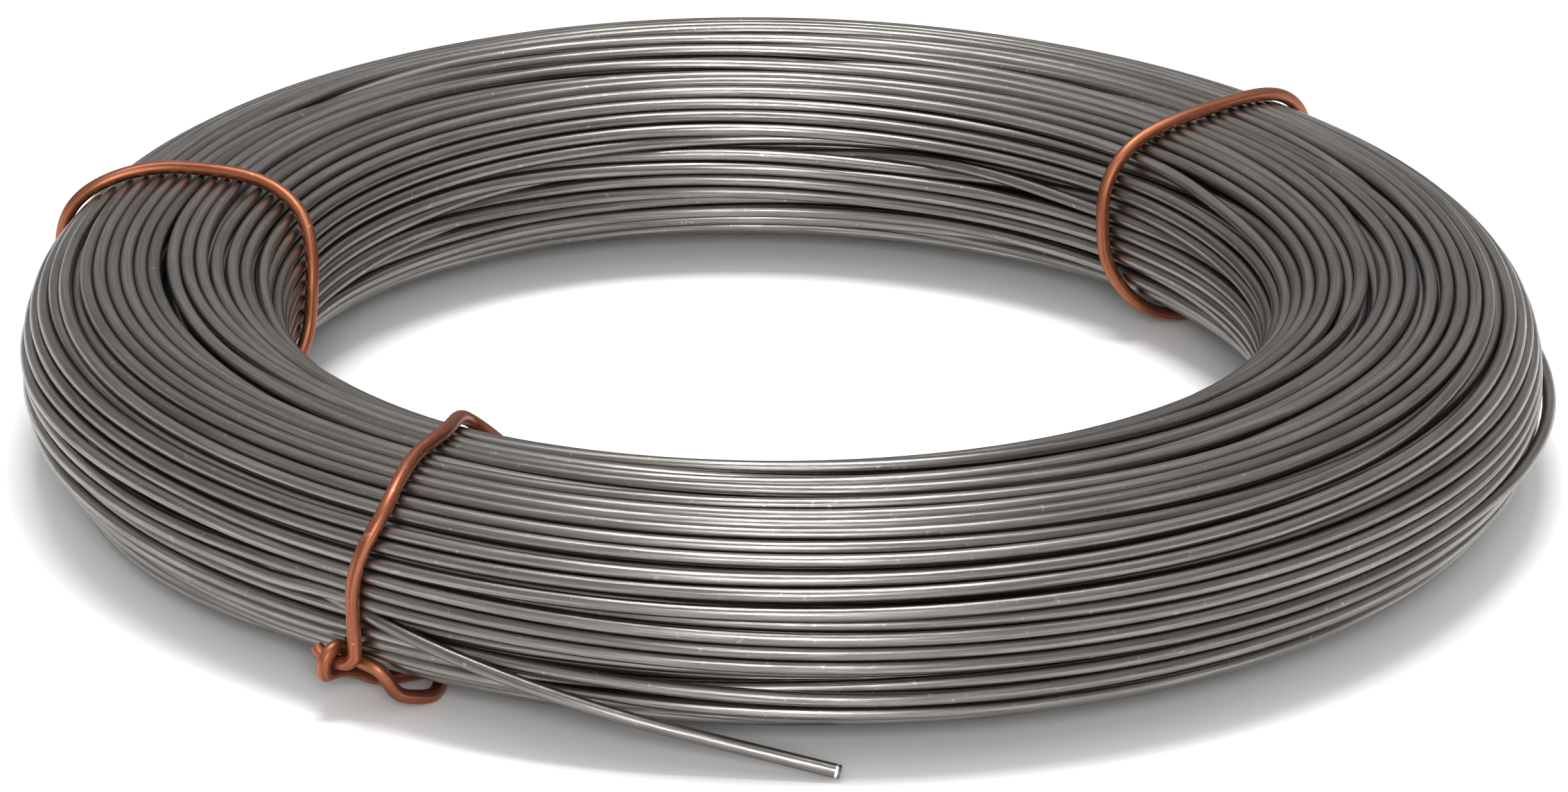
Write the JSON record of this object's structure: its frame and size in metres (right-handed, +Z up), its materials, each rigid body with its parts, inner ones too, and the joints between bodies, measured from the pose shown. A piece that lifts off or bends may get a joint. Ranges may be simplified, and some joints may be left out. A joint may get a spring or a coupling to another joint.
{
  "type": "wire coil",
  "caption": "Flat round coil of plain drawn steel wire with an open eye, bound by thin copper wire ties, one tie end curled, one loose wire end",
  "frame": {"origin": "on the coil's axis, at floor level under the ties", "axes": "+X to the right and +Z up along the coil's axis; the loose wire end and the curled tie end lie towards -Y, the coil's front"},
  "size_m": [0.2008, 0.2013, 0.0316],
  "materials": {
    "steel_wire": "plain drawn steel, satin, with fine lengthwise draw lines",
    "copper_wire": null
  },
  "bodies": {
    "root": {"wire_coil": "steel_wire", "tie_front": "copper_wire", "tie_left": "copper_wire", "tie_right": "copper_wire"}
  },
  "joints": []
}
